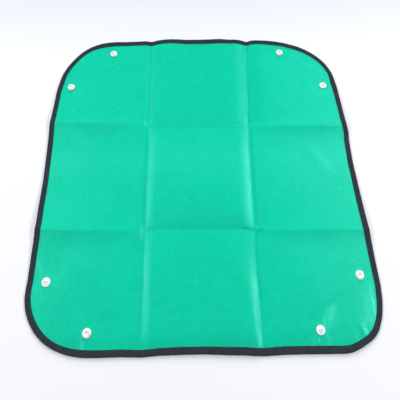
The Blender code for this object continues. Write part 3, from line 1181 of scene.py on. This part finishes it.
def crease_highlight_group():
    """How close a place on the flat cloth is to any crease: a fine line and a broad band of painted
    highlight.
    """
    inputs = [
        ("Place", "NodeSocketVector", None),
        ("Crease Offset", "NodeSocketFloat", crease_offset),
        ("Line Width", "NodeSocketFloat", highlight_line_width),
        ("Band Width", "NodeSocketFloat", highlight_band_width),
    ]
    outputs = [("Line", "NodeSocketFloat"), ("Band", "NodeSocketFloat")]
    tree, source, target = new_group("crease_highlight", inputs, outputs)
    parts = split(tree, source["Place"])
    gaps = []
    for axis in "XY":
        reach = calculate(tree, "ABSOLUTE", parts[axis])
        gap = calculate(tree, "SUBTRACT", reach, source["Crease Offset"])
        gaps.append(calculate(tree, "ABSOLUTE", gap))
    nearest = calculate(tree, "MINIMUM", *gaps)
    for name in ("Line", "Band"):
        share = calculate(tree, "DIVIDE", nearest, source[f"{name} Width"])
        fade = calculate(tree, "SUBTRACT", 1.0, share, clamp=True)
        tree.links.new(calculate(tree, "POWER", fade, highlight_power), target[name])
    return tree


def fine_grain_group():
    """Even small noise for a moulded or woven surface: a tone, patches and a relief."""
    inputs = [("Place", "NodeSocketVector", None), ("Grain Size", "NodeSocketFloat", 0.001)]
    outputs = [(name, "NodeSocketFloat") for name in grain_layers]
    tree, source, target = new_group("fine_grain", inputs, outputs)
    for name, (fineness, detail) in grain_layers.items():
        scale = calculate(tree, "DIVIDE", fineness, source["Grain Size"])
        tree.links.new(noise_field(tree, source["Place"], scale, detail), target[name])
    return tree


def ribbed_tape_group():
    """Fine cross ribs of a woven tape, crossed by the yarns that run along it."""
    inputs = [("Place", "NodeSocketVector", None), ("Rib Pitch", "NodeSocketFloat", rib_pitch)]
    tree, source, target = new_group("ribbed_tape", inputs, [("Relief", "NodeSocketFloat")])
    parts = split(tree, source["Place"])
    crowns = []
    for axis, turn in rib_turns.items():
        count = calculate(tree, "DIVIDE", parts[axis], source["Rib Pitch"])
        crowns.append(crowned(tree, count, turn))
    tree.links.new(weighted(tree, crowns, weave_shares), target["Relief"])
    return tree


def highlight_hairs_group():
    """Breaks a soft mask of painted highlight up into fine parallel hairs."""
    inputs = [
        ("Place", "NodeSocketVector", None),
        ("Mask", "NodeSocketFloat", 0.0),
        ("Hair Width", "NodeSocketFloat", hair_width),
    ]
    tree, source, target = new_group("highlight_hairs", inputs, [("Highlight Hairs", "NodeSocketFloat")])
    count = calculate(tree, "DIVIDE", 1.0, source["Hair Width"])
    hairs = streaks_along(tree, source["Place"], hair_stretch, count)
    spread = ranged(tree, hairs, hair_limits)
    highlight_hair_mask = calculate(tree, "MULTIPLY", spread, source["Mask"], clamp=True)
    tree.links.new(highlight_hair_mask, target["Highlight Hairs"])
    return tree


# Materials

green_deep = (0.000, 0.605, 0.362, 1)
green_light = (0.001, 0.687, 0.424, 1)
# Painted greens: highlight beside and on the creases, light, shade, and highlight streaks
green_beside_crease = (0.010, 0.760, 0.540, 1)
green_on_crease = (0.040, 0.840, 0.620, 1)
green_painted_light = (0.040, 0.860, 0.640, 1)
green_painted_shade = (0.000, 0.440, 0.250, 1)
green_highlight_streak = (0.050, 0.800, 0.570, 1)
film_shine = (0.35, 0.95, 1.00, 1)
tape_deep = (0.010, 0.017, 0.024, 1)
tape_light = (0.049, 0.061, 0.081, 1)
thread_deep = (0.022, 0.024, 0.030, 1)
thread_light = (0.075, 0.078, 0.090, 1)
white_deep = (0.93, 0.94, 0.96, 1)
white_light = (0.97, 0.98, 0.99, 1)
floor_deep = (0.940, 0.940, 0.970, 1)
floor_light = (0.960, 0.960, 0.990, 1)
floor_far_shade = (0.780, 0.805, 0.900, 1)
horizon_dark = (0.0, 0.0, 0.0, 1)
horizon_glow = (0.80, 0.84, 0.90, 1)
world_as_light = (0.86, 0.93, 1.0, 1)
world_as_seen = (0.97, 0.98, 1.0, 1)

film_tone_shares = (0.42, 0.22, 0.36)
film_tone_limits = (-1.5, 2.5)
film_relief_shares = (0.6, 0.9)
beside_crease_share = 0.06
on_crease_share = 0.12
film_gloss = 0.7
tape_gloss = 0.35
tape_relief_shares = (1.0, 0.5)
snap_translucence = 0.2
snap_translucence_depth = 0.0008
floor_roughness = 0.75
floor_gloss = 0.2
floor_far_shade_limits = (0.20, 0.36)
horizon_limits = (0.6, 1.2)
world_strengths = (0.22, 1.0)
grain_size = {"film": 0.0035, "tape": 0.0006, "thread": 0.0004, "snap": 0.0005, "floor": 0.02}
relief_depth = {"film": 0.00015, "tape": 0.00018, "thread": 0.00005, "snap": 0.00002}
roughness = {
    "film": (0.22, 0.34),
    "tape": (0.62, 0.92),
    "thread": (0.45, 0.70),
    "snap": (0.26, 0.42),
}


def new_material(name):
    material = bpy.data.materials.new(name)
    material.use_nodes = True
    tree = material.node_tree
    return material, tree, tree.nodes["Principled BSDF"]


def mixed_color(tree, mask, under, over):
    """A colour between two, by a mask."""
    inputs = {"Factor": mask, 6: under, 7: over}
    return add_node(tree, "ShaderNodeMix", inputs, data_type="RGBA").outputs[2]


def bumped(tree, relief, depth):
    return add_node(tree, "ShaderNodeBump", {"Height": relief, "Distance": depth}).outputs["Normal"]


def uv_place(tree, uv_map):
    return add_node(tree, "ShaderNodeUVMap", uv_map=uv_map).outputs["UV"]


def object_place(tree):
    return add_node(tree, "ShaderNodeTexCoord").outputs["Object"]


def painted_mask(tree, name):
    return add_node(tree, "ShaderNodeAttribute", attribute_name=name).outputs["Fac"]


def laminate_material(weave, crease_highlight_tree, grain, highlight_hairs_tree):
    """Green woven sheet under a glossy film, with painted highlight along its creases and painted light,
    shade and highlight streaks.
    """
    material, tree, shader = new_material("green_laminate")
    place = uv_place(tree, "cloth")
    tapes = use_group(tree, weave, {"Place": place})
    crease_highlights = use_group(tree, crease_highlight_tree, {"Place": uv_place(tree, "creases")})
    film = use_group(tree, grain, {"Place": place, "Grain Size": grain_size["film"]})
    highlight_hair_mask = use_group(tree, highlight_hairs_tree, {"Place": place, "Mask": painted_mask(tree, "painted_highlight")})
    line = painted_mask(tree, "painted_tone")
    tones = (tapes["Streaks"], film["Tone"], film["Patches"])
    tone = ranged(tree, weighted(tree, tones, film_tone_shares), film_tone_limits)
    color = mixed_color(tree, tone, green_deep, green_light)
    layers = [
        # Painted highlight along every crease, as a band and a line
        (calculate(tree, "MULTIPLY", crease_highlights["Band"], beside_crease_share), green_beside_crease),
        (calculate(tree, "MULTIPLY", crease_highlights["Line"], on_crease_share), green_on_crease),
        # Painted light above nought and painted shade below it, from the cloth's tone mask
        (calculate(tree, "MAXIMUM", line, 0.0), green_painted_light),
        (calculate(tree, "MULTIPLY", line, -1.0, clamp=True), green_painted_shade),
        # Painted highlight streaks, broken into hairs
        (highlight_hair_mask["Highlight Hairs"], green_highlight_streak),
    ]
    for mask, over in layers:
        color = mixed_color(tree, mask, color, over)
    relief = weighted(tree, (tapes["Relief"], film["Relief"]), film_relief_shares)
    looks = {
        "Base Color": color,
        "Roughness": ranged(tree, film["Tone"], roughness["film"]),
        "Specular IOR Level": film_gloss,
        "Specular Tint": film_shine,
        "Normal": bumped(tree, relief, relief_depth["film"]),
    }
    set_inputs(tree, shader, looks)
    return material


def binding_material(ribs, grain):
    """Near-black ribbed woven tape, matt."""
    material, tree, shader = new_material("binding_tape")
    place = uv_place(tree, "cloth")
    rib = use_group(tree, ribs, {"Place": place})["Relief"]
    fuzz = use_group(tree, grain, {"Place": place, "Grain Size": grain_size["tape"]})
    tone = calculate(tree, "MULTIPLY", rib, fuzz["Tone"])
    relief = weighted(tree, (rib, fuzz["Relief"]), tape_relief_shares)
    looks = {
        "Base Color": mixed_color(tree, tone, tape_deep, tape_light),
        "Roughness": ranged(tree, fuzz["Relief"], roughness["tape"]),
        "Specular IOR Level": tape_gloss,
        "Normal": bumped(tree, relief, relief_depth["tape"]),
    }
    set_inputs(tree, shader, looks)
    return material


def grained_material(name, kind, grain, layer, deep, light):
    """A surface whose colour and roughness follow one layer of a fine grain."""
    material, tree, shader = new_material(name)
    inputs = {"Place": object_place(tree), "Grain Size": grain_size[kind]}
    field = use_group(tree, grain, inputs)
    looks = {
        "Base Color": mixed_color(tree, field[layer], deep, light),
        "Roughness": ranged(tree, field[layer], roughness[kind]),
        "Normal": bumped(tree, field["Relief"], relief_depth[kind]),
    }
    set_inputs(tree, shader, looks)
    return material, tree, shader


def thread_material(grain):
    """Dark sewing thread, a little brighter than the tape it holds."""
    return grained_material("dark_thread", "thread", grain, "Relief", thread_deep, thread_light)[0]


def snap_material(grain):
    """White moulded plastic, satin, with a faint mould texture."""
    name = "white_snap_plastic"
    material, tree, shader = grained_material(name, "snap", grain, "Tone", white_deep, white_light)
    looks = {
        "Subsurface Weight": snap_translucence,
        "Subsurface Radius": (1.0, 1.0, 1.0),
        "Subsurface Scale": snap_translucence_depth,
    }
    set_inputs(tree, shader, looks)
    return material


def floor_material(grain):
    """Pale studio floor with painted shade toward its far side, which fades into its surroundings far
    away.
    """
    material, tree, shader = new_material("pale_floor")
    place = object_place(tree)
    paper = use_group(tree, grain, {"Place": place, "Grain Size": grain_size["floor"]})
    pale = mixed_color(tree, paper["Tone"], floor_deep, floor_light)
    # Painted shade: the floor's colour darkens toward the far side
    far = share_between(tree, split(tree, place)["Y"], floor_far_shade_limits)
    reach = vector_math(tree, "LENGTH", {0: place})["Value"]
    seen = add_node(tree, "ShaderNodeLightPath").outputs["Is Camera Ray"]
    glow = calculate(tree, "MULTIPLY", share_between(tree, reach, horizon_limits), seen)
    looks = {
        "Base Color": mixed_color(tree, far, pale, floor_far_shade),
        "Emission Color": mixed_color(tree, glow, horizon_dark, horizon_glow),
        "Emission Strength": 1.0,
        "Roughness": floor_roughness,
        "Specular IOR Level": floor_gloss,
    }
    set_inputs(tree, shader, looks)
    return material


# Assembly


def bind_edge(body, side, stations, materials, tree, join):
    """The tape and the stitches along one sheet's edge, each passed to join."""
    tape = make_binding(f"{body}_tape", side, stations, materials["binding"])
    thread = make_stitches(f"{body}_stitches", side, stations, tree, materials["thread"])
    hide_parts(f"{body}_binding")
    for piece in (tape, thread):
        join(piece)
    return [tape, thread]


def make_side(side, sheets, materials, tree):
    wall = f"{side}_wall"
    piece, size, area = sheets[wall]
    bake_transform(piece)
    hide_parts(f"{wall}_panel")
    sewn = bind_edge(wall, side, wall_stations(), materials, tree, lambda part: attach(part, wall))
    for hand in (-1, 1):
        make_flap(side, hand, sheets, materials, tree)


def make_flap(side, hand, sheets, materials, tree):
    flap = flap_name(side, hand)
    piece, size, area = sheets[flap]
    stations = edge_stations(flap.split("_corner_")[0], hand)

    def join(part):
        """Bake a part's placement into its mesh."""
        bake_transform(part)

    join(piece)
    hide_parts(f"{flap}_panel")
    sewn = bind_edge(flap, side, stations, materials, tree, join)
    make_snap(flap, "stud" if hand > 0 else "socket", materials["snap"])


# Stage, lights and camera

floor_half = 4.0
floor_level = -0.0002
view_image_pixels = 400
view_focal_pixels = 301.32
view_centre_row = 140.41
view_sensor = 0.036
view_place = (-0.00805, -0.1197, 0.4728)
view_elevation = 70.0
view_yaw = -2.844
view_roll = 1.696
view_clip = 0.01

# Soft boxes, as (place, width, height, power, whether the film mirrors it)
lamps = {
    "left_strip_box": ((-1.57, 0.05, 1.23), 1.8, 0.22, 17.0, True),
    "right_strip_box": ((1.57, 0.05, 1.23), 1.8, 0.28, 20.0, True),
    "far_soft_box": ((0.0, 4.10, 1.83), 2.2, 2.2, 178.0, False),
}


def make_floor(material):
    corners = ((-1, -1), (1, -1), (1, 1), (-1, 1))
    points = [(x * floor_half, y * floor_half, floor_level) for x, y in corners]
    mesh = bpy.data.meshes.new("floor")
    mesh.from_pydata(points, [], [(0, 1, 2, 3)])
    mesh.materials.append(material)
    placed("floor", mesh)


def make_lights():
    """Each box faces the middle of the mat."""
    for name, (place, width, height, power, mirrored) in lamps.items():
        data = bpy.data.lights.new(name, "AREA")
        data.shape = "RECTANGLE"
        data.size = width
        data.size_y = height
        data.energy = power
        lamp = placed(name, data)
        lamp.location = place
        lamp.rotation_euler = (-Vector(place)).to_track_quat("-Z", "Y").to_euler()
        lamp.visible_glossy = mirrored


def make_world():
    """Pale surroundings: dimmer as a light than they look, so that the lamps can shape the cloth."""
    world = bpy.data.worlds.new("studio")
    world.use_nodes = True
    tree = world.node_tree
    seen = add_node(tree, "ShaderNodeLightPath").outputs["Is Camera Ray"]
    looks = {
        "Color": mixed_color(tree, seen, world_as_light, world_as_seen),
        "Strength": ranged(tree, seen, world_strengths),
    }
    set_inputs(tree, tree.nodes["Background"], looks)
    bpy.context.scene.world = world


def make_camera():
    """The photograph's view, worked out from the mat's corners and snaps."""
    data = bpy.data.cameras.new("camera")
    data.sensor_width = view_sensor * 1000
    data.lens = view_focal_pixels / view_image_pixels * data.sensor_width
    data.shift_y = (view_centre_row - view_image_pixels / 2) / view_image_pixels
    data.clip_start = view_clip
    camera = placed("camera", data)
    yaw = Matrix.Rotation(math.radians(view_yaw), 4, "Z")
    pitch = Matrix.Rotation(math.radians(90 - view_elevation), 4, "X")
    roll = Matrix.Rotation(math.radians(view_roll), 4, "Z")
    camera.matrix_world = Matrix.Translation(view_place) @ yaw @ pitch @ roll
    bpy.context.scene.camera = camera
    bpy.context.scene.view_settings.view_transform = "Standard"


def main():
    grain = fine_grain_group()
    materials = {
        "laminate": laminate_material(woven_tapes_group(), crease_highlight_group(), grain, highlight_hairs_group()),
        "binding": binding_material(ribbed_tape_group(), grain),
        "thread": thread_material(grain),
        "snap": snap_material(grain),
    }
    make_camera()
    make_world()
    make_lights()
    make_floor(floor_material(grain))
    sheets = make_sheets(materials["laminate"])
    tree = stitch_tree()
    piece, size, area = sheets["base"]
    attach(piece, "base")
    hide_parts("base_panel")
    for side in SIDES:
        make_side(side, sheets, materials, tree)


main()
